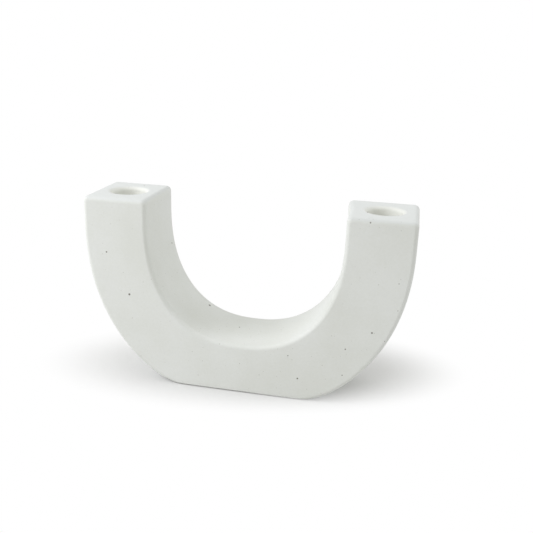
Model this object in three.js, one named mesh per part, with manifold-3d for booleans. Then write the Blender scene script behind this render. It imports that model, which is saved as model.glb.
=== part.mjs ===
import * as THREE from 'three';
import { mergeVertices } from 'three/addons/utils/BufferGeometryUtils.js';
import Module from 'manifold-3d';

// Double taper candle holder: one hollow ceramic casting shaped like a U, on four thin pads.
// Millimetres, +Z up. The origin is on the table, under the middle of the base.
// X runs along the U, from the left leg to the right leg, and -Y is the front.

// Outline of the U, seen from the front. Both curves are superellipses: at a squareness of 2 they
// would be plain ellipses, and a higher value fills their corners out
const GAP_WIDTH = 124.6;
const LEG_WIDTH = 41.9;
const OUTER_DROP = 114.6;
const OUTER_SQUARENESS = 2.12;
const GAP_DROP = 77.4;
const GAP_SQUARENESS = 2.34;
const BASE_FLAT_CUT = 11.9;
const ARCH_FLOOR_THICKNESS = 32.4;
const LEG_STRAIGHT = 19.8;
const DEPTH = 50;

// Softened edges
const EDGE_RADIUS = 2.8;
const LEG_TOP_CORNER_RADIUS = 3.3;
const BASE_CORNER_RADIUS = 48;
const BASE_GRINDING = 2.2;

// Hollow left by the slip, and the hole that drains and vents it
const CAST_WALL = 6;
const CAVITY_EDGE_RADIUS = 3;
const SOCKET_FLOOR_WALL = 6;
const VENT_DIAMETER = 8;

// Sockets for the candles
const TAPER_DIAMETER = 22;
const TAPER_CLEARANCE = 0.3;
const SOCKET_DEPTH = 25;
const SOCKET_LIP_RADIUS = 1.5;
const SOCKET_FLOOR_RADIUS = 1.5;

// Pads under the base
const PAD_DIAMETER = 11;
const PAD_THICKNESS = 0.8;
const PAD_EDGE_RADIUS = 0.25;
const PAD_INSET_SIDE = 4;
const PAD_INSET_FRONT = 3.5;

// Fineness of the curves
const ARC_STEPS = 32;
const CORNER_STEPS = 4;
const BASE_CORNER_STEPS = 8;
const EDGE_STEPS = 5;
const CAVITY_ARC_STEPS = 18;
const CAVITY_EDGE_STEPS = 2;
const ROUND_STEPS = 48;
const FILLET_STEPS = 4;

const EAST = 0;
const NORTH = Math.PI / 2;
const SOUTH = -Math.PI / 2;
const CUT_MARGIN = 5;

// Heights and places that follow from the sizes above
const outerHalf = GAP_WIDTH / 2 + LEG_WIDTH;
const outerCentreZ = PAD_THICKNESS + OUTER_DROP - BASE_FLAT_CUT;
const gapCentreZ = PAD_THICKNESS + ARCH_FLOOR_THICKNESS + GAP_DROP;
const legTopZ = outerCentreZ + LEG_STRAIGHT;
const legCentreX = (GAP_WIDTH + LEG_WIDTH) / 2;
const socketRadius = TAPER_DIAMETER / 2 + TAPER_CLEARANCE;
const socketFloorZ = legTopZ - SOCKET_DEPTH;
const cavityTopZ = socketFloorZ - SOCKET_FLOOR_WALL;
const uncutBaseZ = PAD_THICKNESS - BASE_GRINDING;

const wasm = await Module();
wasm.setup();

// A closed three.js geometry as a solid that can be joined and cut
function toSolid(geometry) {
  const bare = geometry.clone();
  bare.deleteAttribute('normal');
  bare.deleteAttribute('uv');
  const merged = mergeVertices(bare);
  const index = merged.index.array;
  const triangles = [];
  for (let i = 0; i < index.length; i += 3) {
    const [a, b, c] = [index[i], index[i + 1], index[i + 2]];
    if (a !== b && b !== c && c !== a) {
      triangles.push(a, b, c);
    }
  }
  return new wasm.Manifold(new wasm.Mesh({
    numProp: 3,
    vertProperties: new Float32Array(merged.attributes.position.array),
    triVerts: new Uint32Array(triangles),
  }));
}

// A solid back as a three.js geometry with its own normals
function toGeometry(solid) {
  const mesh = solid.getMesh();
  const geometry = new THREE.BufferGeometry();
  geometry.setAttribute('position', new THREE.BufferAttribute(mesh.vertProperties, 3));
  geometry.setIndex(new THREE.BufferAttribute(mesh.triVerts, 1));
  geometry.computeVertexNormals();
  return geometry;
}

// Points on a circular arc, both ends included
function arcPoints(cx, cy, radius, from, to, steps) {
  const points = [];
  for (let i = 0; i <= steps; i += 1) {
    const angle = from + ((to - from) * i) / steps;
    points.push(new THREE.Vector2(cx + radius * Math.cos(angle), cy + radius * Math.sin(angle)));
  }
  return points;
}

// The outer curve of the U, moved inwards by an inset
function outerCurve(inset) {
  return {
    halfWidth: outerHalf - inset,
    drop: OUTER_DROP - inset,
    centreZ: outerCentreZ,
    squareness: OUTER_SQUARENESS,
  };
}

// The curve of the gap, moved into the clay by an inset
function gapCurve(inset) {
  return {
    halfWidth: GAP_WIDTH / 2 + inset,
    drop: GAP_DROP + inset,
    centreZ: gapCentreZ,
    squareness: GAP_SQUARENESS,
  };
}

// A point on the lower right quarter of a curve, at a parameter from SOUTH to EAST
function curvePoint(curve, t) {
  const power = 2 / curve.squareness;
  return new THREE.Vector2(curve.halfWidth * Math.abs(Math.cos(t)) ** power,
    curve.centreZ - curve.drop * Math.abs(Math.sin(t)) ** power);
}

// The direction that points straight out of a curve there
function curveNormal(curve, t) {
  const power = 2 - 2 / curve.squareness;
  return new THREE.Vector2(Math.abs(Math.cos(t)) ** power / curve.halfWidth,
    -(Math.abs(Math.sin(t)) ** power) / curve.drop).normalize();
}

// Points on a curve between two parameters, both ends included
function curvePoints(curve, from, to, steps) {
  const points = [];
  for (let i = 0; i <= steps; i += 1) {
    points.push(curvePoint(curve, from + ((to - from) * i) / steps));
  }
  return points;
}

// Where the rounded base corner leaves the outer curve: its centre, the curve's parameter there,
// and the direction of the curve's normal
function baseCorner(curve, baseZ, radius) {
  const at = (t) => {
    const normal = curveNormal(curve, t);
    const centre = curvePoint(curve, t).addScaledVector(normal, -radius);
    return { t, x: centre.x, z: centre.y, direction: Math.atan2(normal.y, normal.x) };
  };
  let low = SOUTH;
  let high = EAST;
  for (let i = 0; i < 60; i += 1) {
    const middle = (low + high) / 2;
    if (at(middle).z < baseZ + radius) {
      low = middle;
    } else {
      high = middle;
    }
  }
  return at(high);
}

// Half the length of the flat that the grinding leaves on the base
function groundHalf() {
  const corner = baseCorner(outerCurve(0), uncutBaseZ, BASE_CORNER_RADIUS);
  const cut = BASE_CORNER_RADIUS - BASE_GRINDING;
  return corner.x + Math.sqrt(BASE_CORNER_RADIUS ** 2 - cut ** 2);
}

// The U's outline moved inwards by an inset, with its flat base and its four leg-top corners
function uOutline(inset, arcSteps) {
  const outside = outerCurve(inset);
  const inside = gapCurve(inset);
  const topRadius = LEG_TOP_CORNER_RADIUS;
  const topCornerZ = legTopZ - inset - topRadius;
  const baseRadius = BASE_CORNER_RADIUS - inset;
  const corner = baseCorner(outside, uncutBaseZ + inset, baseRadius);

  const rightHalf = [
    ...arcPoints(corner.x, corner.z, baseRadius, SOUTH, corner.direction, BASE_CORNER_STEPS),
    ...curvePoints(outside, corner.t, EAST, arcSteps).slice(1),
    ...arcPoints(outside.halfWidth - topRadius, topCornerZ, topRadius, EAST, NORTH, CORNER_STEPS),
    ...arcPoints(inside.halfWidth + topRadius, topCornerZ, topRadius, NORTH, 2 * NORTH,
      CORNER_STEPS),
    ...curvePoints(inside, EAST, SOUTH, arcSteps),
  ];
  const leftHalf = rightHalf
    .slice(0, -1)
    .reverse()
    .map((point) => new THREE.Vector2(-point.x, point.y));
  return [...rightHalf, ...leftHalf];
}

// An outline carried from the front to the back, with rounded edges all round
function acrossDepth(outline, depth, edgeRadius, edgeSteps) {
  const straight = depth - 2 * edgeRadius;
  const geometry = new THREE.ExtrudeGeometry(new THREE.Shape(outline), {
    depth: straight,
    bevelEnabled: true,
    bevelThickness: edgeRadius,
    bevelSize: edgeRadius,
    bevelOffset: -edgeRadius,
    bevelSegments: edgeSteps,
  });
  geometry.rotateX(Math.PI / 2);
  geometry.translate(0, straight / 2, 0);
  return toSolid(geometry);
}

// A turned solid standing on the XY plane
function turned(profile, x, z) {
  const geometry = new THREE.LatheGeometry(profile, ROUND_STEPS);
  geometry.rotateX(Math.PI / 2);
  geometry.translate(x, 0, z);
  return toSolid(geometry);
}

// A block between two heights that is wider than the whole holder
function slab(lowZ, highZ) {
  const size = 2 * (outerHalf + CUT_MARGIN);
  const geometry = new THREE.BoxGeometry(size, size, highZ - lowZ);
  geometry.translate(0, 0, (lowZ + highZ) / 2);
  return toSolid(geometry);
}

// Socket for one candle: rounded floor edge, straight bore, and a lip that flares into the leg top
function socketCutter(x) {
  const wallTop = SOCKET_DEPTH - SOCKET_LIP_RADIUS;
  const lip = arcPoints(socketRadius + SOCKET_LIP_RADIUS, wallTop, SOCKET_LIP_RADIUS,
    2 * NORTH, NORTH, FILLET_STEPS);
  const floor = arcPoints(socketRadius - SOCKET_FLOOR_RADIUS, SOCKET_FLOOR_RADIUS,
    SOCKET_FLOOR_RADIUS, SOUTH, EAST, FILLET_STEPS);
  const mouth = socketRadius + SOCKET_LIP_RADIUS;
  const profile = [
    new THREE.Vector2(0, 0),
    ...floor,
    ...lip,
    new THREE.Vector2(mouth, SOCKET_DEPTH + CUT_MARGIN),
    new THREE.Vector2(0, SOCKET_DEPTH + CUT_MARGIN),
  ];
  return turned(profile, x, socketFloorZ);
}

// Round hole through the middle of the base into the hollow
function ventCutter() {
  const profile = [
    new THREE.Vector2(0, -CUT_MARGIN),
    new THREE.Vector2(VENT_DIAMETER / 2, -CUT_MARGIN),
    new THREE.Vector2(VENT_DIAMETER / 2, CAST_WALL + CAVITY_EDGE_RADIUS),
    new THREE.Vector2(0, CAST_WALL + CAVITY_EDGE_RADIUS),
  ];
  return turned(profile, 0, uncutBaseZ);
}

// The hollow follows the outside at the cast wall's thickness and stops under the sockets
function cavity() {
  const hollow = acrossDepth(uOutline(CAST_WALL, CAVITY_ARC_STEPS), DEPTH - 2 * CAST_WALL,
    CAVITY_EDGE_RADIUS, CAVITY_EDGE_STEPS);
  return hollow.subtract(slab(cavityTopZ, legTopZ + CUT_MARGIN));
}

// The ceramic casting, ground flat underneath after firing
function ceramicBody() {
  return acrossDepth(uOutline(0, ARC_STEPS), DEPTH, EDGE_RADIUS, EDGE_STEPS)
    .subtract(slab(uncutBaseZ - CUT_MARGIN, PAD_THICKNESS))
    .subtract(socketCutter(-legCentreX))
    .subtract(socketCutter(legCentreX))
    .subtract(cavity())
    .subtract(ventCutter());
}

// Die-cut round pad with a softened lower edge
function padGeometry() {
  const radius = PAD_DIAMETER / 2;
  const edge = arcPoints(radius - PAD_EDGE_RADIUS, PAD_EDGE_RADIUS, PAD_EDGE_RADIUS,
    SOUTH, EAST, FILLET_STEPS);
  const geometry = new THREE.LatheGeometry([
    new THREE.Vector2(0, 0),
    ...edge,
    new THREE.Vector2(radius, PAD_THICKNESS),
    new THREE.Vector2(0, PAD_THICKNESS),
  ], ROUND_STEPS);
  geometry.rotateX(Math.PI / 2);
  return toGeometry(toSolid(geometry));
}

const speckledCeramic = new THREE.MeshStandardMaterial({
  color: 0xdfe0db,
  roughness: 0.62,
  metalness: 0,
});
const clearGreyRubber = new THREE.MeshStandardMaterial({
  color: 0x8f918d,
  roughness: 0.7,
  metalness: 0,
});

const holder = new THREE.Group();

const body = new THREE.Mesh(toGeometry(ceramicBody()), speckledCeramic);
body.name = 'ceramic_body';
holder.add(body);

// The pads sit inside the ground part of the base
const padX = groundHalf() - PAD_INSET_SIDE - PAD_DIAMETER / 2;
const padY = DEPTH / 2 - PAD_INSET_FRONT - PAD_DIAMETER / 2;
const padPlaces = [
  ['base_pad_front_left', -padX, -padY],
  ['base_pad_front_right', padX, -padY],
  ['base_pad_back_left', -padX, padY],
  ['base_pad_back_right', padX, padY],
];
for (const [name, x, y] of padPlaces) {
  const pad = new THREE.Mesh(padGeometry(), clearGreyRubber.clone());
  pad.name = name;
  pad.position.set(x, y, 0);
  holder.add(pad);
}

export default holder;
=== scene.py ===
import math

import bpy
from mathutils import Matrix, Vector


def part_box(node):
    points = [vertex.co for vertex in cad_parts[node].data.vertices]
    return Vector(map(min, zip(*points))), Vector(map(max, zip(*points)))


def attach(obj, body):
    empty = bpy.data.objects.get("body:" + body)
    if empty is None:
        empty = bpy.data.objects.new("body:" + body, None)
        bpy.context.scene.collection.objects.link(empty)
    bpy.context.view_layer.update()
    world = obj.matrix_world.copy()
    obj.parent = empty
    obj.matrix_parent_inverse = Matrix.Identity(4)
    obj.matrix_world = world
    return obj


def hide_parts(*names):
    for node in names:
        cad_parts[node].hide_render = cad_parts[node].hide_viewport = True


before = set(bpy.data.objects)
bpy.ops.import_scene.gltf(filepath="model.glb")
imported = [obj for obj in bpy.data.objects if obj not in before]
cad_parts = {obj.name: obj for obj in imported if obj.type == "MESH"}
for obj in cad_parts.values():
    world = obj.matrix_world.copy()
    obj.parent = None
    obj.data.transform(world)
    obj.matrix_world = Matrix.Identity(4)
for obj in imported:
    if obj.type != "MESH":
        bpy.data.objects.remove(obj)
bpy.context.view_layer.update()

bl_info = {
    "name": "Double taper candle holder",
    "version": (1, 0, 0),
    "blender": (4, 5, 0),
    "location": "View3D > Sidebar > Candle holder",
    "description": "Speckled ceramic U-shaped holder for two tapers, with its pads and stage",
    "category": "Object",
}

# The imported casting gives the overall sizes; the rest follow the same drawing
BODY_LOW, BODY_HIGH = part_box("ceramic_body")
PAD_NODES = (
    "base_pad_front_left",
    "base_pad_front_right",
    "base_pad_back_left",
    "base_pad_back_right",
)
IMAGE_SIDE_PX = 533
SENSOR_MM = 36.0
MM = 0.001

# Fineness of the modelled casting
OUTLINE_STEPS = 288
BASE_CORNER_STEPS = 24
LEG_CORNER_STEPS = 6
EDGE_STEPS = 6
LEAN_STEPS = 10
HOLLOW_STEPS = 72
HOLLOW_EDGE_STEPS = 2
HOLLOW_EDGE = 3 * MM
ROUND_STEPS = 96
FILLET_STEPS = 6
CORNER_SEARCH_STEPS = 60
SMOOTH_ANGLE = math.radians(35)
TINY = 1e-6
TINY_FILLET = 0.3 * MM
SAME_PLACE = 0.02 * MM
LEVEL_FACE = 0.999
VENT_REACH_IN_WALLS = 1.3

# Sizes of the patterns in the glaze and the rubber, and how far their relief stands out
POOL_SIZE = 35 * MM
GRAIN_SIZE = 1.5 * MM
EGGSHELL_SIZE = 0.9 * MM
EGGSHELL_HEIGHT = 0.06 * MM
GRIT_SIZE = 0.8 * MM
GRIT_HEIGHT = 0.05 * MM

# Where the painted shade of the leg tops starts and is full, below the top, and how far the clay
# colour reaches past the socket floors, where it is painted light, and past the bare ground base
TOP_SHADE_START = 2.5 * MM
TOP_SHADE_FULL = 0.5 * MM
SOCKET_LIGHT_MARGIN = MM
GROUND_CLAY_MARGIN = 0.1 * MM

# Grains listed one by one, where the photograph shows them: place and radius in mm. Each fades in
# between the two shares of its radius.
LARGE_GRAIN_FADE = (1.55, 0.35)
LARGE_GRAINS = (
    (-74.6, -25.0, 60.3, 0.65),
    (82.5, -25.0, 52.4, 0.52),
    (38.1, -25.0, 15.3, 0.50),
    (-89.3, -25.0, 87.7, 0.47),
    (76.2, -24.6, 121.2, 0.48),
    (67.1, -25.0, 39.5, 0.39),
    (31.3, -25.0, 30.4, 0.33),
    (66.3, -25.0, 21.5, 0.33),
    (90.6, -25.0, 47.8, 0.26),
    (95.8, -25.0, 85.6, 0.26),
    (96.7, -25.0, 68.5, 0.25),
    (-32.9, 17.8, 41.2, 0.77),
    (-60.2, 17.3, 84.5, 0.50),
)

# Grains at random: mean distance, smallest and largest radius in mm, opacity, where they start
# in y, and their colour. The largest keep off the front face, where they are listed one by one.
SMALL_GRAIN_FADE = (1.25, 0.65)
FRONT_SKIN = -24.5 * MM
EVERYWHERE = -1.0
RANDOM_GRAINS = (
    (15.0, 0.30, 0.60, 1.0, FRONT_SKIN, "iron_speck"),
    (6.0, 0.15, 0.32, 0.3, EVERYWHERE, "iron_speck"),
    (4.5, 0.18, 0.36, 0.45, EVERYWHERE, "pale_speck"),
)

# The stage, in metres: name, setting of the power, side and place of each soft box
FLOOR_SIZE = 20.0
HOLDER_MIDDLE = (0, 0, 0.06)
SOFT_BOXES = (
    ("left_soft_box", "left_box", 0.4, (-0.6, -0.3, 0.5)),
    ("right_soft_box", "right_box", 0.3, (0.45, 0.1, 0.3)),
    ("top_soft_box", "top_box", 0.3, (0.15, 0.15, 0.4)),
)
CLIP_START = 0.01
CLIP_END = 100


class HolderSizes(bpy.types.PropertyGroup):
    """Sizes of the casting"""

    outer_half: bpy.props.FloatProperty(
        name="Outer half-width",
        description="From the middle to the outside of a leg",
        default=BODY_HIGH.x,
        subtype="DISTANCE",
        unit="LENGTH",
    )
    gap_half: bpy.props.FloatProperty(
        name="Gap half-width",
        description="From the middle to the inside of a leg",
        default=0.0623,
        subtype="DISTANCE",
        unit="LENGTH",
    )
    depth: bpy.props.FloatProperty(
        name="Depth",
        description="From the front to the back",
        default=BODY_HIGH.y - BODY_LOW.y,
        subtype="DISTANCE",
        unit="LENGTH",
    )
    base: bpy.props.FloatProperty(
        name="Base height",
        description="Height of the ground base above the table",
        default=BODY_LOW.z,
        subtype="DISTANCE",
        unit="LENGTH",
    )
    top: bpy.props.FloatProperty(
        name="Leg top height",
        description="Height of the leg tops above the table",
        default=BODY_HIGH.z,
        subtype="DISTANCE",
        unit="LENGTH",
    )
    outer_centre: bpy.props.FloatProperty(
        name="Outer curve centre",
        description="Height where the outside starts to curve in",
        default=0.1035,
        subtype="DISTANCE",
        unit="LENGTH",
    )
    outer_drop: bpy.props.FloatProperty(
        name="Outer curve drop",
        description="Depth of the full outer curve below its centre",
        default=0.1146,
        subtype="DISTANCE",
        unit="LENGTH",
    )
    outer_squareness: bpy.props.FloatProperty(
        name="Outer curve squareness",
        description="2 is a plain ellipse, and a higher value fills its corners out",
        default=2.12,
    )
    gap_centre: bpy.props.FloatProperty(
        name="Gap curve centre",
        description="Height where the inside starts to curve in",
        default=0.1106,
        subtype="DISTANCE",
        unit="LENGTH",
    )
    gap_drop: bpy.props.FloatProperty(
        name="Gap curve drop",
        description="Depth of the inner curve below its centre",
        default=0.0774,
        subtype="DISTANCE",
        unit="LENGTH",
    )
    gap_squareness: bpy.props.FloatProperty(
        name="Gap curve squareness",
        description="2 is a plain ellipse, and a higher value fills its corners out",
        default=2.34,
    )
    base_corner: bpy.props.FloatProperty(
        name="Base corner radius",
        description="Rounding where the outer curve runs into the base",
        default=0.048,
        subtype="DISTANCE",
        unit="LENGTH",
    )
    edge_radius: bpy.props.FloatProperty(
        name="Edge radius",
        description="Softening of the long edges",
        default=0.0028,
        subtype="DISTANCE",
        unit="LENGTH",
    )
    top_corner: bpy.props.FloatProperty(
        name="Leg top corner radius",
        description="Softening of the leg tops, seen from the front",
        default=0.0033,
        subtype="DISTANCE",
        unit="LENGTH",
    )
    lean: bpy.props.FloatProperty(
        name="Corner lean",
        description="How far the right leg's inner back corner leans into the gap",
        default=0.0032,
        subtype="DISTANCE",
        unit="LENGTH",
    )
    lean_reach: bpy.props.FloatProperty(
        name="Corner lean's reach",
        description="How far from that corner the lean fades out",
        default=0.030,
        subtype="DISTANCE",
        unit="LENGTH",
    )
    grinding: bpy.props.FloatProperty(
        name="Base grinding",
        description="What is ground off the base to make it flat",
        default=0.0022,
        subtype="DISTANCE",
        unit="LENGTH",
    )
    wall: bpy.props.FloatProperty(
        name="Cast wall",
        description="Thickness of the casting's wall",
        default=0.006,
        subtype="DISTANCE",
        unit="LENGTH",
    )
    socket_radius: bpy.props.FloatProperty(
        name="Socket radius",
        description="Radius of the bore for a candle",
        default=0.0113,
        subtype="DISTANCE",
        unit="LENGTH",
    )
    socket_depth: bpy.props.FloatProperty(
        name="Socket depth",
        description="Depth of the bore for a candle",
        default=0.025,
        subtype="DISTANCE",
        unit="LENGTH",
    )
    socket_lip: bpy.props.FloatProperty(
        name="Socket lip radius",
        description="Softening of the bore's mouth and floor",
        default=0.0026,
        subtype="DISTANCE",
        unit="LENGTH",
    )
    vent_radius: bpy.props.FloatProperty(
        name="Vent radius",
        description="Radius of the hole under the base",
        default=0.004,
        subtype="DISTANCE",
        unit="LENGTH",
    )


class HolderColours(bpy.types.PropertyGroup):
    """Colours as sRGB hex"""

    glaze: bpy.props.StringProperty(
        name="Glaze", description="Matt glaze over the clay", default="E2E4E1"
    )
    glaze_shade: bpy.props.StringProperty(
        name="Glaze, thin places", description="Where the glaze lies thinner", default="DCDED9"
    )
    # Painted shade: the flat leg tops are a little cooler and greyer, for how the light falls there
    top_painted_shade: bpy.props.StringProperty(
        name="Glaze on the tops",
        description="A little cooler and greyer, on the flat leg tops",
        default="DBDEDD",
    )
    # In the sockets this colour is painted light, paler than the glaze; under the base it is bare
    # clay
    clay: bpy.props.StringProperty(
        name="Clay",
        description="Bare fired clay in the sockets and under the base",
        default="ECEDE8",
    )
    iron_speck: bpy.props.StringProperty(
        name="Iron specks", description="Burnt iron grains that show through", default="4C4234"
    )
    pale_speck: bpy.props.StringProperty(
        name="Pale specks", description="Iron grains deep under the glaze", default="8E8A7E"
    )
    pad: bpy.props.StringProperty(
        name="Pad", description="Rubber of the stick-on pads", default="8F918D"
    )
    floor: bpy.props.StringProperty(
        name="Floor", description="Paper under the holder", default="E4E4E4"
    )


class HolderStage(bpy.types.PropertyGroup):
    """Camera and light"""

    camera_place: bpy.props.FloatVectorProperty(
        name="Camera place",
        description="Where the camera stands",
        default=(0.09548, -0.42054, 0.22189),
        subtype="TRANSLATION",
        unit="LENGTH",
    )
    yaw: bpy.props.FloatProperty(
        name="Yaw",
        description="Camera's turn about the vertical",
        default=math.radians(11.429),
        subtype="ANGLE",
        unit="ROTATION",
    )
    pitch: bpy.props.FloatProperty(
        name="Pitch",
        description="How far the camera looks down",
        default=math.radians(18.304),
        subtype="ANGLE",
        unit="ROTATION",
    )
    roll: bpy.props.FloatProperty(
        name="Roll",
        description="Camera's turn about its own line of sight",
        default=math.radians(1.953),
        subtype="ANGLE",
        unit="ROTATION",
    )
    focal_px: bpy.props.FloatProperty(
        name="Focal length in pixels",
        description="For an image 533 pixels wide",
        default=694.69,
    )
    room_light: bpy.props.FloatProperty(
        name="Room light", description="Even light from all round", default=0.663
    )
    left_box: bpy.props.FloatProperty(
        name="Left soft box", description="Power of the main light", default=3.334, unit="POWER"
    )
    right_box: bpy.props.FloatProperty(
        name="Right soft box", description="Power of the fill light", default=0.277, unit="POWER"
    )
    top_box: bpy.props.FloatProperty(
        name="Top soft box", description="Power of the light above", default=0.149, unit="POWER"
    )
    room_tint: bpy.props.FloatVectorProperty(
        name="Room tint",
        description="Slightly warm, as the shadows in the photo are",
        default=(1.0, 1.0, 0.96),
        subtype="COLOR",
    )
    box_tint: bpy.props.FloatVectorProperty(
        name="Soft box tint",
        description="Slightly cool, as the lit faces in the photo are",
        default=(1.0, 1.0, 1.04),
        subtype="COLOR",
        max=1.1,
    )
    fade_place: bpy.props.FloatVectorProperty(
        name="Paper fade place",
        description="Middle of the oval outside which the paper clears to white",
        default=(-0.001, 0.019, 0.0),
        subtype="TRANSLATION",
        unit="LENGTH",
    )
    fade_reach: bpy.props.FloatVectorProperty(
        name="Paper fade reach",
        description="Half-sizes of the oval outside which the paper is plain white",
        default=(0.155, 0.073, 1.0),
        subtype="XYZ_LENGTH",
        unit="LENGTH",
    )
    fade_start: bpy.props.FloatProperty(
        name="Paper fade start",
        description="Share of the oval within which the paper doesn't fade",
        default=0.53,
        subtype="FACTOR",
    )


def colour(code):
    """An sRGB hex value as linear RGBA."""
    channels = []
    for i in (0, 2, 4):
        value = int(code[i : i + 2], 16) / 255
        channels.append(value / 12.92 if value <= 0.04045 else ((value + 0.055) / 1.055) ** 2.4)
    return (*channels, 1.0)


def add_node(tree, kind, settings=None, **inputs):
    """Adds a node, sets its options, and sets or links its inputs by name or number."""
    node = tree.nodes.new(kind)
    for name, value in (settings or {}).items():
        setattr(node, name, value)
    for name, value in inputs.items():
        key = int(name[1:]) if name[0] == "_" else name.replace("_", " ")
        if isinstance(value, bpy.types.NodeSocket):
            tree.links.new(value, node.inputs[key])
        else:
            node.inputs[key].default_value = value
    return node


def new_material(name):
    """An empty node material with its output node."""
    material = bpy.data.materials.new(name)
    material.use_nodes = True
    tree = material.node_tree
    tree.nodes.clear()
    return material, tree, tree.nodes.new("ShaderNodeOutputMaterial")


def math_node(tree, operation, first, second):
    """The result of an operation on two values."""
    return add_node(
        tree, "ShaderNodeMath", {"operation": operation}, _0=first, _1=second
    ).outputs[0]


def mix_colours(tree, share, first, second):
    """The first colour where the share is 0, the second where it is 1."""
    return add_node(
        tree, "ShaderNodeMix", {"data_type": "RGBA"}, _0=share, _6=first, _7=second
    ).outputs[2]


def soft_step(tree, value, start, full, most=1.0):
    """Rises softly from 0, where the value is the start, to the most, where it is full."""
    return add_node(
        tree,
        "ShaderNodeMapRange",
        {"interpolation_type": "SMOOTHSTEP"},
        Value=value,
        From_Min=start,
        From_Max=full,
        To_Max=most,
    ).outputs[0]


def noise(tree, place, size, detail, roughness):
    """Noise whose features have about this real size."""
    return add_node(
        tree, "ShaderNodeTexNoise", Vector=place, Scale=1 / size, Detail=detail, Roughness=roughness
    ).outputs["Fac"]


def leg_middle(sizes):
    """How far from the middle the axis of a leg and of its socket stands."""
    return (sizes.outer_half + sizes.gap_half) / 2


def deselect_all():
    """Nothing selected and object mode, before a new piece is begun."""
    if bpy.context.object and bpy.context.object.mode != "OBJECT":
        bpy.ops.object.mode_set(mode="OBJECT")
    bpy.ops.object.select_all(action="DESELECT")


def make_active(piece):
    """Only this piece selected and active."""
    deselect_all()
    piece.select_set(True)
    bpy.context.view_layer.objects.active = piece


def pick(piece, vertices=None, edges=None, faces=None):
    """In edit mode, selects the vertices or edges that a test on their places accepts, or the
    faces that a test on their normals accepts."""
    bpy.ops.mesh.select_mode(type="FACE" if faces else "EDGE" if edges else "VERT")
    bpy.ops.mesh.select_all(action="DESELECT")
    bpy.ops.object.mode_set(mode="OBJECT")
    mesh = piece.data
    if vertices:
        for vertex in mesh.vertices:
            vertex.select = bool(vertices(vertex.co))
    if edges:
        for edge in mesh.edges:
            first, second = (mesh.vertices[i].co for i in edge.vertices)
            edge.select = bool(edges(first, second))
    if faces:
        for face in mesh.polygons:
            face.select = bool(faces(face.normal))
    bpy.ops.object.mode_set(mode="EDIT")


def near(a, b):
    """Equal to within what the modelling tools leave."""
    return abs(a - b) < SAME_PLACE


def half_curve(name, half_width, drop, squareness, centre_z, y, steps):
    """The lower half of a superellipse as a row of edges: a circle cut at its middle, with each
    pair of points at one height pushed out to the squarer curve."""
    deselect_all()
    bpy.ops.mesh.primitive_circle_add(
        vertices=steps, radius=half_width, location=(0, y, centre_z), rotation=(math.pi / 2, 0, 0)
    )
    piece = bpy.context.object
    piece.name = name
    bpy.ops.object.transform_apply(location=True, rotation=True, scale=True)
    bpy.ops.object.mode_set(mode="EDIT")
    bpy.ops.mesh.select_all(action="SELECT")
    bpy.ops.mesh.bisect(
        plane_co=(0, 0, centre_z),
        plane_no=(0, 0, 1),
        use_fill=False,
        clear_outer=True,
        threshold=TINY,
    )
    push = 2 / squareness - 1
    for i in range(steps // 4, 0, -1):
        angle = 2 * math.pi * i / steps
        level = centre_z - half_width * math.sin(angle)
        pick(piece, vertices=lambda co: near(co.z, level))
        sideways = 1 if i == steps // 4 else math.cos(angle) ** push
        bpy.ops.transform.resize(
            value=(sideways, 1, math.sin(angle) ** push), center_override=(0, y, centre_z)
        )
    bpy.ops.mesh.select_all(action="SELECT")
    bpy.ops.transform.resize(value=(1, 1, drop / half_width), center_override=(0, y, centre_z))
    bpy.ops.object.mode_set(mode="OBJECT")
    return piece


def raise_ends(piece, centre_z, top):
    """Draws the two open ends of a half curve straight up to the leg tops."""
    bpy.ops.object.mode_set(mode="EDIT")
    pick(piece, vertices=lambda co: near(co.z, centre_z))
    bpy.ops.mesh.extrude_region_move(TRANSFORM_OT_translate={"value": (0, 0, top - centre_z)})
    bpy.ops.object.mode_set(mode="OBJECT")


def corner_on_curve(half_width, drop, squareness, centre_z, base, radius):
    """Where a rounded corner that stands on the base line meets the curve: the corner's centre,
    the point on the curve, and the angle of its normal below the horizontal."""
    low, high = 0.0, math.pi / 2
    for _ in range(CORNER_SEARCH_STEPS):
        angle = (low + high) / 2
        across, down = math.cos(angle), math.sin(angle)
        normal = Vector(
            (across ** (2 - 2 / squareness) / half_width, -(down ** (2 - 2 / squareness)) / drop)
        ).normalized()
        point = Vector(
            (
                half_width * across ** (2 / squareness),
                centre_z - drop * down ** (2 / squareness),
            )
        )
        centre = point - radius * normal
        if centre.y > base + radius:
            low = angle
        else:
            high = angle
    return centre, point, math.atan2(-normal.y, normal.x)


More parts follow.
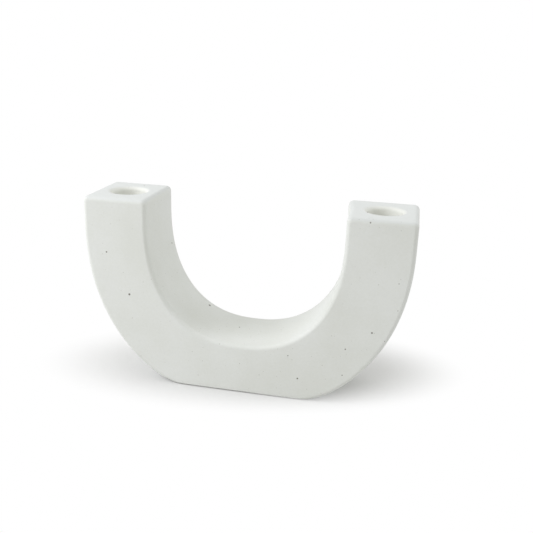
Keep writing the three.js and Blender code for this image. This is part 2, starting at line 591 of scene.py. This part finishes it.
def u_block(name, sizes, inset, edge_radius, steps, edge_steps):
    """The U as a closed block, moved inwards by an inset, from its outline drawn at the front."""
    top = sizes.top - inset
    base = sizes.base - sizes.grinding + inset
    front = -sizes.depth / 2 + inset
    half = sizes.outer_half - inset
    drop = sizes.outer_drop - inset
    inner = half_curve(
        name + "_gap",
        sizes.gap_half + inset,
        sizes.gap_drop + inset,
        sizes.gap_squareness,
        sizes.gap_centre,
        front,
        steps,
    )
    raise_ends(inner, sizes.gap_centre, top)
    block = half_curve(
        name, half, drop, sizes.outer_squareness, sizes.outer_centre, front, steps
    )
    raise_ends(block, sizes.outer_centre, top)

    # The corners where the curve runs into the base are turned with a wide radius
    centre, leave, slope = corner_on_curve(
        half,
        drop,
        sizes.outer_squareness,
        sizes.outer_centre,
        base,
        sizes.base_corner - inset,
    )
    bpy.ops.object.mode_set(mode="EDIT")
    bpy.ops.mesh.select_all(action="SELECT")
    bpy.ops.mesh.bisect(
        plane_co=(0, 0, leave.y),
        plane_no=(0, 0, 1),
        use_fill=False,
        clear_inner=True,
        threshold=TINY,
    )
    for side in (-1, 1):
        pick(block, vertices=lambda co: near(co.z, leave.y) and co.x * side > 0)
        bpy.ops.mesh.spin(
            steps=BASE_CORNER_STEPS,
            angle=side * (slope - math.pi / 2),
            center=(side * centre.x, front, centre.y),
            axis=(0, 1, 0),
        )
    pick(block, vertices=lambda co: near(co.z, base))
    bpy.ops.mesh.edge_face_add()
    bpy.ops.object.mode_set(mode="OBJECT")

    # Outside and gap joined into one outline, and the leg-top corners rounded
    make_active(block)
    inner.select_set(True)
    bpy.ops.object.join()
    bpy.ops.object.mode_set(mode="EDIT")
    for side in (-1, 1):
        pick(block, vertices=lambda co: near(co.z, top) and co.x * side > 0)
        bpy.ops.mesh.edge_face_add()
    bpy.ops.mesh.select_all(action="SELECT")
    bpy.ops.mesh.edge_face_add()
    pick(block, vertices=lambda co: near(co.z, top))
    bpy.ops.mesh.bevel(
        affect="VERTICES",
        offset=sizes.top_corner,
        segments=LEG_CORNER_STEPS,
        profile=0.5,
        clamp_overlap=False,
    )

    # Drawn through the depth, and the long edges rounded
    bpy.ops.mesh.select_all(action="SELECT")
    bpy.ops.mesh.extrude_region_move(TRANSFORM_OT_translate={"value": (0, -2 * front, 0)})
    bpy.ops.mesh.select_all(action="SELECT")
    bpy.ops.mesh.normals_make_consistent(inside=False)
    pick(
        block,
        edges=lambda a, b: near(a.y, b.y) and near(abs(a.y), -front),
    )
    bpy.ops.mesh.bevel(
        affect="EDGES",
        offset=edge_radius,
        segments=edge_steps,
        profile=0.5,
        clamp_overlap=False,
    )
    bpy.ops.object.mode_set(mode="OBJECT")
    return block


def lean_corner(piece, sizes):
    """Leans the right leg's inner back corner into the gap, as the photograph shows it."""
    make_active(piece)
    bpy.ops.object.mode_set(mode="EDIT")
    corner = Vector((sizes.gap_half, sizes.depth / 2, sizes.top))
    for i in range(1, LEAN_STEPS):
        for axis in (Vector((0, 1, 0)), Vector((0, 0, 1))):
            # The tops stay whole, for a clean socket rim
            pick(piece, faces=lambda normal: normal.z < LEVEL_FACE)
            bpy.ops.mesh.bisect(
                plane_co=corner - axis * sizes.lean_reach * i / LEAN_STEPS,
                plane_no=axis,
                threshold=TINY,
            )
    pick(piece, vertices=lambda co: (co - corner).length < 2 * sizes.edge_radius)
    bpy.ops.transform.translate(
        value=(-sizes.lean, 0, 0),
        use_proportional_edit=True,
        proportional_edit_falloff="SMOOTH",
        proportional_size=sizes.lean_reach,
    )
    bpy.ops.object.mode_set(mode="OBJECT")


def slice_flat(piece, z, keep_above):
    """Cuts a block flat at a height and closes the cut."""
    make_active(piece)
    bpy.ops.object.mode_set(mode="EDIT")
    bpy.ops.mesh.select_all(action="SELECT")
    bpy.ops.mesh.bisect(
        plane_co=(0, 0, z),
        plane_no=(0, 0, 1),
        use_fill=True,
        clear_inner=keep_above,
        clear_outer=not keep_above,
        threshold=TINY,
    )
    bpy.ops.object.mode_set(mode="OBJECT")


def cut_away(piece, cutter):
    """Takes a cutter's shape out of a piece and removes the cutter."""
    make_active(piece)
    cut = piece.modifiers.new("Cut", "BOOLEAN")
    cut.operation = "DIFFERENCE"
    cut.solver = "EXACT"
    cut.object = cutter
    bpy.ops.object.modifier_apply(modifier=cut.name)
    bpy.data.objects.remove(cutter)


def round_cutter(name, radius, x, low, high, floor_radius):
    """An upright round cutter whose lower rim is rounded."""
    deselect_all()
    bpy.ops.mesh.primitive_cylinder_add(
        vertices=ROUND_STEPS, radius=radius, depth=high - low, location=(x, 0, (low + high) / 2)
    )
    cutter = bpy.context.object
    cutter.name = name
    bpy.ops.object.transform_apply(location=True, rotation=True, scale=True)
    bpy.ops.object.mode_set(mode="EDIT")
    pick(cutter, edges=lambda a, b: near(a.z, low) and near(b.z, low))
    bpy.ops.mesh.bevel(affect="EDGES", offset=floor_radius, segments=FILLET_STEPS, profile=0.5)
    bpy.ops.object.mode_set(mode="OBJECT")
    return cutter


def soften_rim(piece, x, z, radius, lip):
    """Rounds the mouth of a round hole."""
    make_active(piece)
    bpy.ops.object.mode_set(mode="EDIT")
    axis = Vector((x, 0, z))
    pick(
        piece,
        edges=lambda a, b: all(near(p.z, z) and near((p - axis).length, radius) for p in (a, b)),
    )
    bpy.ops.mesh.bevel(
        affect="EDGES", offset=lip, segments=FILLET_STEPS, profile=0.5, clamp_overlap=False
    )
    bpy.ops.object.mode_set(mode="OBJECT")


def speckled_stoneware(colours, sizes):
    """White matt-glazed speckled stoneware, slip cast and fired: a soft, even, slightly mottled
    white with a dull sheen on its rounded edges and iron grains that burn through as small dark
    dots."""
    material, tree, out = new_material("speckled_stoneware_matt_glaze")
    place = add_node(tree, "ShaderNodeTexCoord").outputs["Object"]
    spot = add_node(tree, "ShaderNodeSeparateXYZ", Vector=place).outputs

    # The glaze pools and thins over wide areas, and is faintly grainy
    pooling = noise(tree, place, POOL_SIZE, 2.0, 0.5)
    grain = noise(tree, place, GRAIN_SIZE, 3.0, 0.6)
    thickness = add_node(
        tree, "ShaderNodeMath", {"operation": "MULTIPLY_ADD"}, _0=grain, _1=0.5, _2=pooling
    )
    thinness = add_node(
        tree, "ShaderNodeMapRange", Value=thickness.outputs[0], From_Min=0.55, From_Max=0.95
    )
    base = mix_colours(
        tree, thinness.outputs[0], colour(colours.glaze), colour(colours.glaze_shade)
    )

    # Painted shade on the flat leg tops: a little cooler and greyer, for how the light falls there
    top_shade_share = soft_step(
        tree, spot["Z"], sizes.top - TOP_SHADE_START, sizes.top - TOP_SHADE_FULL
    )
    base = mix_colours(tree, top_shade_share, base, colour(colours.top_painted_shade))

    # Painted light in the sockets: paler clay colour below their rims. The ground base is bare clay
    across = add_node(
        tree,
        "ShaderNodeCombineXYZ",
        X=add_node(tree, "ShaderNodeMath", {"operation": "ABSOLUTE"}, _0=spot["X"]).outputs[0],
        Y=spot["Y"],
    )
    from_axis = add_node(
        tree,
        "ShaderNodeVectorMath",
        {"operation": "DISTANCE"},
        _0=across.outputs[0],
        _1=(leg_middle(sizes), 0, 0),
    ).outputs["Value"]
    socket_light_share = soft_step(
        tree, from_axis, sizes.socket_radius + sizes.socket_lip, sizes.socket_radius
    )
    socket_light_floor = sizes.top - sizes.socket_depth - SOCKET_LIGHT_MARGIN
    in_leg = math_node(tree, "GREATER_THAN", spot["Z"], socket_light_floor)
    socket_painted_light = math_node(tree, "MULTIPLY", socket_light_share, in_leg)
    ground = math_node(tree, "LESS_THAN", spot["Z"], sizes.base + GROUND_CLAY_MARGIN)
    bare_clay_and_socket_light = math_node(tree, "MAXIMUM", socket_painted_light, ground)
    base = mix_colours(tree, bare_clay_and_socket_light, base, colour(colours.clay))

    # Each large grain is a ball in the clay that the surface cuts through
    specks = 0.0
    outside, inside = LARGE_GRAIN_FADE
    for x, y, z, radius in LARGE_GRAINS:
        away = add_node(
            tree,
            "ShaderNodeVectorMath",
            {"operation": "DISTANCE"},
            _0=place,
            _1=(x * MM, y * MM, z * MM),
        ).outputs["Value"]
        speck = soft_step(tree, away, radius * outside * MM, radius * inside * MM)
        specks = math_node(tree, "MAXIMUM", specks, speck)
    base = mix_colours(tree, specks, base, colour(colours.iron_speck))

    for cell, small, large, opacity, start, tone in RANDOM_GRAINS:
        grains = add_node(
            tree, "ShaderNodeTexVoronoi", {"feature": "F1"}, Vector=place, Scale=1 / (cell * MM)
        )
        chance = add_node(tree, "ShaderNodeSeparateColor", Color=grains.outputs["Color"])
        radius = add_node(
            tree,
            "ShaderNodeMapRange",
            Value=chance.outputs[0],
            To_Min=small / cell,
            To_Max=large / cell,
        )
        ratio = math_node(tree, "DIVIDE", grains.outputs["Distance"], radius.outputs[0])
        dot = soft_step(tree, ratio, *SMALL_GRAIN_FADE, opacity)
        behind = math_node(tree, "GREATER_THAN", spot["Y"], start)
        dot = math_node(tree, "MULTIPLY", dot, behind)
        base = mix_colours(tree, dot, base, colour(getattr(colours, tone)))
        specks = math_node(tree, "MAXIMUM", specks, dot)

    # A dull sheen that varies a little, a fine eggshell surface, and a shallow pit at each grain
    sheen = add_node(tree, "ShaderNodeMapRange", Value=grain, To_Min=0.5, To_Max=0.66)
    eggshell = noise(tree, place, EGGSHELL_SIZE, 2.0, 0.5)
    height = math_node(tree, "SUBTRACT", eggshell, specks)
    bump = add_node(
        tree, "ShaderNodeBump", Height=height, Strength=0.25, Distance=EGGSHELL_HEIGHT
    )
    shader = add_node(
        tree,
        "ShaderNodeBsdfPrincipled",
        Base_Color=base,
        Roughness=sheen.outputs[0],
        IOR=1.5,
        Normal=bump.outputs[0],
    )
    tree.links.new(shader.outputs[0], out.inputs["Surface"])
    return material


def die_cut_rubber(colours):
    """Grey polyurethane rubber, cast in a sheet and die cut: dull and opaque, with fine grit."""
    material, tree, out = new_material("die_cut_polyurethane_rubber")
    place = add_node(tree, "ShaderNodeTexCoord").outputs["Object"]
    grit = noise(tree, place, GRIT_SIZE, 3.0, 0.6)
    tone = add_node(tree, "ShaderNodeMapRange", Value=grit, To_Min=0.85, To_Max=1.12)
    tint = add_node(
        tree, "ShaderNodeHueSaturation", Color=colour(colours.pad), Value=tone.outputs[0]
    )
    bump = add_node(tree, "ShaderNodeBump", Height=grit, Strength=0.4, Distance=GRIT_HEIGHT)
    shader = add_node(
        tree,
        "ShaderNodeBsdfPrincipled",
        Base_Color=tint.outputs[0],
        Roughness=0.62,
        IOR=1.49,
        Normal=bump.outputs[0],
    )
    tree.links.new(shader.outputs[0], out.inputs["Surface"])
    return material


def seen_directly(tree):
    """1 where the camera, a mirror image or a clear surface looks at a surface, otherwise 0."""
    path = add_node(tree, "ShaderNodeLightPath").outputs
    first = math_node(tree, "MAXIMUM", path["Is Camera Ray"], path["Is Glossy Ray"])
    return math_node(tree, "MAXIMUM", first, path["Is Transmission Ray"])


def background_paper(colours, stage):
    """Matt white background paper: soft grey in the holder's shadow, and clearing to plain white
    outside an oval round it, as in the photograph, for what is seen directly."""
    material, tree, out = new_material("matt_white_background_paper")
    matt = add_node(tree, "ShaderNodeBsdfDiffuse", Color=colour(colours.floor))
    white = add_node(tree, "ShaderNodeEmission", Color=(1, 1, 1, 1), Strength=1.0)
    across = add_node(
        tree,
        "ShaderNodeMapping",
        {"vector_type": "TEXTURE"},
        Vector=add_node(tree, "ShaderNodeTexCoord").outputs["Object"],
        Location=stage.fade_place,
        Rotation=(0, 0, stage.yaw),
        Scale=stage.fade_reach,
    )
    reach = add_node(tree, "ShaderNodeVectorMath", {"operation": "LENGTH"}, _0=across.outputs[0])
    fade = soft_step(tree, reach.outputs["Value"], stage.fade_start, 1.0)
    surface = add_node(
        tree,
        "ShaderNodeMixShader",
        _0=math_node(tree, "MULTIPLY", seen_directly(tree), fade),
        _1=matt.outputs[0],
        _2=white.outputs[0],
    )
    tree.links.new(surface.outputs[0], out.inputs["Surface"])
    return material


def light_room(scene, stage):
    """Even light from all round, behind which the camera sees plain white."""
    world = bpy.data.worlds.new("soft_white_room")
    scene.world = world
    world.use_nodes = True
    tree = world.node_tree
    tree.nodes.clear()
    room = add_node(
        tree, "ShaderNodeBackground", Color=(*stage.room_tint, 1), Strength=stage.room_light
    )
    seen = add_node(tree, "ShaderNodeBackground", Color=(1, 1, 1, 1), Strength=1.0)
    mix = add_node(
        tree,
        "ShaderNodeMixShader",
        _0=seen_directly(tree),
        _1=room.outputs[0],
        _2=seen.outputs[0],
    )
    out = tree.nodes.new("ShaderNodeOutputWorld")
    tree.links.new(mix.outputs[0], out.inputs["Surface"])


def place_soft_boxes(scene, stage):
    """Square lamps, each turned to the middle of the holder."""
    for name, setting, side, place in SOFT_BOXES:
        lamp = bpy.data.lights.new(name, "AREA")
        lamp.energy = getattr(stage, setting)
        lamp.color = stage.box_tint
        lamp.size = side
        stand = bpy.data.objects.new(name, lamp)
        scene.collection.objects.link(stand)
        stand.location = place
        stand.rotation_mode = "QUATERNION"
        towards = Vector(place) - Vector(HOLDER_MIDDLE)
        stand.rotation_quaternion = towards.to_track_quat("Z", "Y")


def place_camera(scene, stage):
    """The camera that was solved from the photograph."""
    camera = bpy.data.cameras.new("photo_view")
    camera.sensor_width = SENSOR_MM
    camera.lens = stage.focal_px * SENSOR_MM / IMAGE_SIDE_PX
    camera.clip_start = CLIP_START
    camera.clip_end = CLIP_END
    view = bpy.data.objects.new("photo_view", camera)
    scene.collection.objects.link(view)
    view.rotation_mode = "QUATERNION"
    turn = (
        Matrix.Rotation(stage.yaw, 3, "Z")
        @ Matrix.Rotation(math.pi / 2 - stage.pitch, 3, "X")
        @ Matrix.Rotation(stage.roll, 3, "Z")
    )
    view.rotation_quaternion = turn.to_quaternion()
    view.location = stage.camera_place
    scene.camera = view


class HOLDER_OT_casting(bpy.types.Operator):
    """Models the hollow ceramic casting with its two candle sockets"""

    bl_idname = "holder.casting"
    bl_label = "Ceramic casting"

    def execute(self, context):
        sizes = context.scene.holder_sizes
        casting = u_block(
            "speckled_casting", sizes, 0.0, sizes.edge_radius, OUTLINE_STEPS, EDGE_STEPS
        )
        slice_flat(casting, sizes.base, keep_above=True)
        lean_corner(casting, sizes)

        socket_floor = sizes.top - sizes.socket_depth
        hollow = u_block("hollow", sizes, sizes.wall, HOLLOW_EDGE, HOLLOW_STEPS, HOLLOW_EDGE_STEPS)
        slice_flat(hollow, socket_floor - sizes.wall, keep_above=False)
        cut_away(casting, hollow)
        vent_top = sizes.base + VENT_REACH_IN_WALLS * sizes.wall
        vent = round_cutter("vent", sizes.vent_radius, 0.0, -sizes.wall, vent_top, TINY_FILLET)
        cut_away(casting, vent)

        for x in (-leg_middle(sizes), leg_middle(sizes)):
            socket = round_cutter(
                "socket",
                sizes.socket_radius,
                x,
                socket_floor,
                sizes.top + sizes.socket_depth,
                sizes.socket_lip,
            )
            cut_away(casting, socket)
            soften_rim(casting, x, sizes.top, sizes.socket_radius, sizes.socket_lip)

        make_active(casting)
        bpy.ops.object.mode_set(mode="EDIT")
        bpy.ops.mesh.select_all(action="SELECT")
        bpy.ops.mesh.remove_doubles(threshold=TINY)
        bpy.ops.mesh.normals_make_consistent(inside=False)
        bpy.ops.object.mode_set(mode="OBJECT")
        bpy.ops.object.shade_smooth_by_angle(angle=SMOOTH_ANGLE)
        even = casting.modifiers.new("Even shading", "WEIGHTED_NORMAL")
        even.keep_sharp = True
        bpy.ops.object.modifier_apply(modifier=even.name)

        casting.data.materials.clear()
        casting.data.materials.append(speckled_stoneware(context.scene.holder_colours, sizes))
        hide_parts("ceramic_body")
        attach(casting, "root")
        return {"FINISHED"}


class HOLDER_OT_pads(bpy.types.Operator):
    """Finishes the four thin pads under the base"""

    bl_idname = "holder.pads"
    bl_label = "Base pads"

    def execute(self, context):
        rubber = die_cut_rubber(context.scene.holder_colours)
        for name in PAD_NODES:
            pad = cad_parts[name]
            pad.data.materials.clear()
            pad.data.materials.append(rubber)
        return {"FINISHED"}


class HOLDER_OT_stage(bpy.types.Operator):
    """Sets the white paper, the soft light and the camera"""

    bl_idname = "holder.stage"
    bl_label = "Stage"

    def execute(self, context):
        scene = context.scene
        stage = scene.holder_stage
        deselect_all()
        bpy.ops.mesh.primitive_plane_add(size=FLOOR_SIZE, location=(0, 0, 0))
        floor = context.object
        floor.name = "paper_sweep"
        floor.data.materials.append(background_paper(scene.holder_colours, stage))
        light_room(scene, stage)
        place_soft_boxes(scene, stage)
        place_camera(scene, stage)
        scene.view_settings.view_transform = "Standard"
        return {"FINISHED"}


class HOLDER_PT_panel(bpy.types.Panel):
    """Lists the pieces of the candle holder in the order they are made"""

    bl_label = "Candle holder"
    bl_idname = "HOLDER_PT_panel"
    bl_space_type = "VIEW_3D"
    bl_region_type = "UI"
    bl_category = "Candle holder"

    def draw(self, context):
        layout = self.layout
        for step in STEPS:
            layout.operator(step.bl_idname)
        for group in ("holder_sizes", "holder_colours", "holder_stage"):
            settings = getattr(context.scene, group)
            column = layout.column(align=True)
            for name in settings.__annotations__:
                column.prop(settings, name)


STEPS = (HOLDER_OT_casting, HOLDER_OT_pads, HOLDER_OT_stage)
GROUPS = (
    ("holder_sizes", HolderSizes),
    ("holder_colours", HolderColours),
    ("holder_stage", HolderStage),
)


def register():
    for _, group in GROUPS:
        bpy.utils.register_class(group)
    for step in (*STEPS, HOLDER_PT_panel):
        bpy.utils.register_class(step)
    for name, group in GROUPS:
        setattr(bpy.types.Scene, name, bpy.props.PointerProperty(type=group))


def unregister():
    for name, _ in GROUPS:
        delattr(bpy.types.Scene, name)
    for step in reversed((*STEPS, HOLDER_PT_panel)):
        bpy.utils.unregister_class(step)
    for _, group in GROUPS:
        bpy.utils.unregister_class(group)


def main():
    register()
    bpy.ops.holder.casting()
    bpy.ops.holder.pads()
    bpy.ops.holder.stage()


if __name__ == "__main__":
    main()
